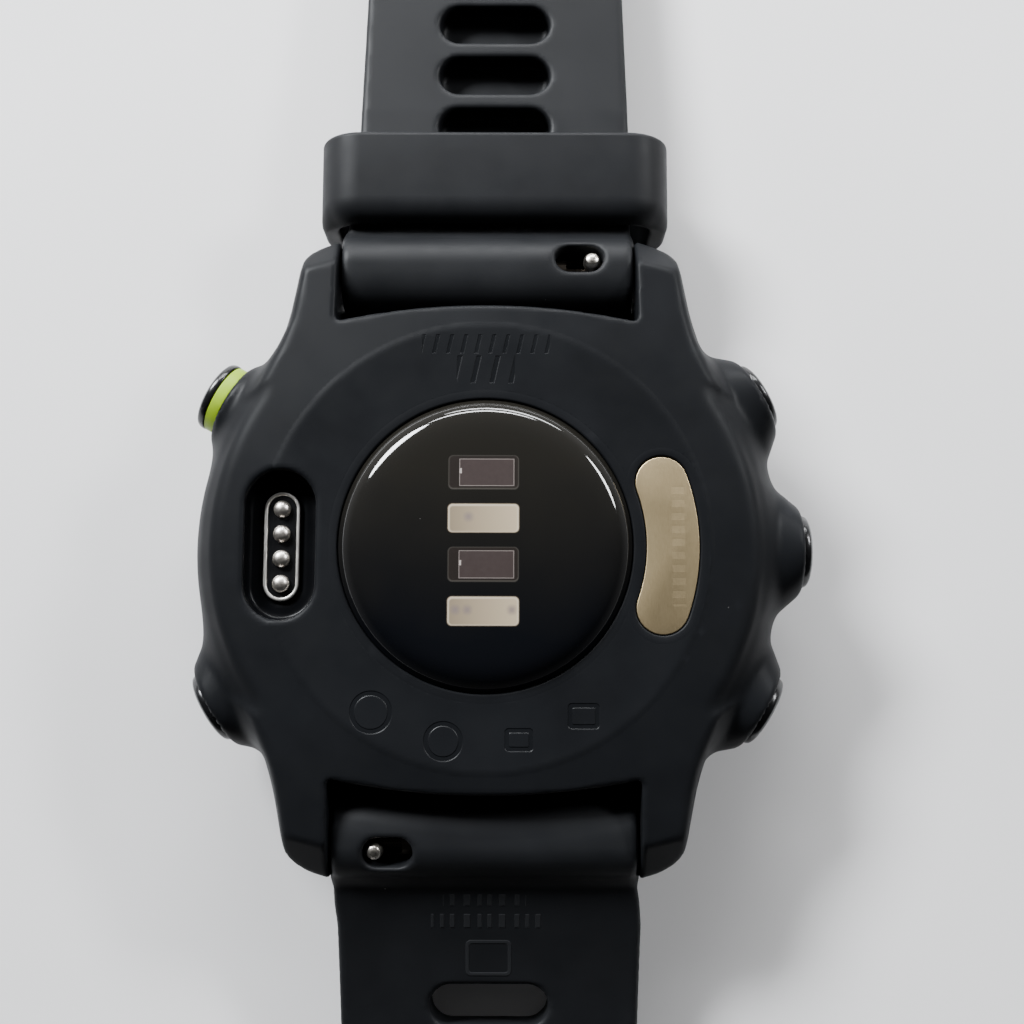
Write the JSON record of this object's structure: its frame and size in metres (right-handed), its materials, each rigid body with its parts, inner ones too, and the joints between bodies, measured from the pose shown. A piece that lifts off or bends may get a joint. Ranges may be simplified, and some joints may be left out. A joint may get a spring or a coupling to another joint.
{
  "type": "gps running watch",
  "caption": "Round sports watch with side buttons, an optical heart-rate sensor on its back, a charging port and an open two-piece rubber strap with buckle and keepers.",
  "frame": {"origin": "centre of the front glass's outer face", "axes": "+Z from the glass to the wrist side, which faces up as the watch lies; +Y towards the buckle end of the strap, the 12 o'clock side; +X towards the side with three buttons"},
  "size_m": [0.0415, 0.2357, 0.0118],
  "materials": {
    "case_polymer": "fine matt moulded polymer, very dark blue-grey",
    "strap_rubber": "soft matt silicone rubber, very dark grey",
    "button_black": "satin black cap",
    "accent_green": "lime green ring",
    "steel": "bright steel",
    "brushed_plate": "warm brushed metal",
    "black_steel": "dark coated steel",
    "clear_glass": "clear polished glass",
    "optical_mask": "black opaque plastic",
    "emitter_resin": "warm white light emitter resin",
    "detector_die": "dark photodiode",
    "seal_rubber": "black seal rubber",
    "display_panel": "dark unlit display",
    "frame_plastic": "black structural plastic",
    "board_green": "green circuit board",
    "battery_foil": "foil pouch cell"
  },
  "bodies": {
    "case": {"rear_case": "case_polymer", "front_bezel": "case_polymer", "front_lens": "clear_glass", "lens_gasket": "seal_rubber", "display_panel": "display_panel", "inner_frame": "frame_plastic", "main_board": "board_green", "board_shield": "steel", "battery": "battery_foil", "gps_antenna": "brushed_plate", "beeper_disc": "brushed_plate", "vibration_motor_can": "steel", "sensor_board": "board_green", "sensor_mask": "optical_mask", "sensor_window": "clear_glass", "emitter_upper": "emitter_resin", "emitter_lower": "emitter_resin", "detector_upper": "detector_die", "detector_lower": "detector_die", "contact_block": "optical_mask", "contact_trim": "steel", "charge_contact_1": "steel", "charge_contact_2": "steel", "charge_contact_3": "steel", "charge_contact_4": "steel", "serial_plate": "brushed_plate", "start_seal": "seal_rubber", "start_switch": "frame_plastic", "back_seal": "seal_rubber", "back_switch": "frame_plastic", "light_seal": "seal_rubber", "light_switch": "frame_plastic", "up_seal": "seal_rubber", "up_switch": "frame_plastic", "down_seal": "seal_rubber", "down_switch": "frame_plastic"},
    "start_button": {"start_cap": "button_black", "start_stem": "steel", "start_accent_ring": "accent_green"},
    "back_button": {"back_cap": "button_black", "back_stem": "steel"},
    "light_button": {"light_cap": "button_black", "light_stem": "steel"},
    "up_button": {"up_cap": "button_black", "up_stem": "steel"},
    "down_button": {"down_cap": "button_black", "down_stem": "steel"},
    "motor_weight": {"vibration_motor_weight": "steel"},
    "upper_strap": {"strap_upper": "strap_rubber", "spring_bar_upper": "steel", "keeper_fixed": "strap_rubber"},
    "upper_release": {"release_pin_upper": "steel"},
    "sliding_keeper": {"keeper_sliding": "strap_rubber"},
    "buckle": {"buckle_frame": "black_steel", "buckle_bar": "steel"},
    "tang": {"buckle_tang": "black_steel"},
    "lower_strap": {"strap_lower": "strap_rubber", "spring_bar_lower": "steel"},
    "lower_release": {"release_pin_lower": "steel"}
  },
  "joints": [
    {"name": "start_button_press", "type": "slide", "parent": "case", "child": "start_button", "axis": [0.866, -0.5, 0], "range_m": [0, 0.0005], "stiffness_N_per_m": 1500},
    {"name": "back_button_press", "type": "slide", "parent": "case", "child": "back_button", "axis": [0.866, 0.5, 0], "range_m": [0, 0.0005], "stiffness_N_per_m": 1500},
    {"name": "light_button_press", "type": "slide", "parent": "case", "child": "light_button", "axis": [-0.866, -0.5, 0], "range_m": [0, 0.0005], "stiffness_N_per_m": 1500},
    {"name": "up_button_press", "type": "slide", "parent": "case", "child": "up_button", "axis": [-1, 0, 0], "range_m": [0, 0.0005], "stiffness_N_per_m": 1500},
    {"name": "down_button_press", "type": "slide", "parent": "case", "child": "down_button", "axis": [-0.866, 0.5, 0], "range_m": [0, 0.0005], "stiffness_N_per_m": 1500},
    {"name": "motor_spin", "type": "hinge", "parent": "case", "child": "motor_weight", "pos_m": [0, -0.0101, 0.0056], "axis": [0, 0, 1], "continuous": true},
    {"name": "upper_strap_hinge", "type": "hinge", "parent": "case", "child": "upper_strap", "pos_m": [0, 0.01925, 0.0062], "axis": [1, 0, 0], "range_deg": [-20, 85]},
    {"name": "upper_release_slide", "type": "slide", "parent": "upper_strap", "child": "upper_release", "axis": [-1, 0, 0], "range_m": [0, 0.0013], "stiffness_N_per_m": 800},
    {"name": "keeper_slide", "type": "slide", "parent": "upper_strap", "child": "sliding_keeper", "axis": [0, 1, 0], "range_m": [0, 0.0455]},
    {"name": "buckle_hinge", "type": "hinge", "parent": "upper_strap", "child": "buckle", "pos_m": [0, 0.0881, 0.0024], "axis": [1, 0, 0], "range_deg": [-70, 110]},
    {"name": "tang_hinge", "type": "hinge", "parent": "buckle", "child": "tang", "pos_m": [0, 0.0881, 0.0024], "axis": [-1, 0, 0], "range_deg": [0, 100]},
    {"name": "lower_strap_hinge", "type": "hinge", "parent": "case", "child": "lower_strap", "pos_m": [0, -0.01925, 0.0062], "axis": [-1, 0, 0], "range_deg": [-20, 85]},
    {"name": "lower_release_slide", "type": "slide", "parent": "lower_strap", "child": "lower_release", "axis": [1, 0, 0], "range_m": [0, 0.0013], "stiffness_N_per_m": 800}
  ]
}
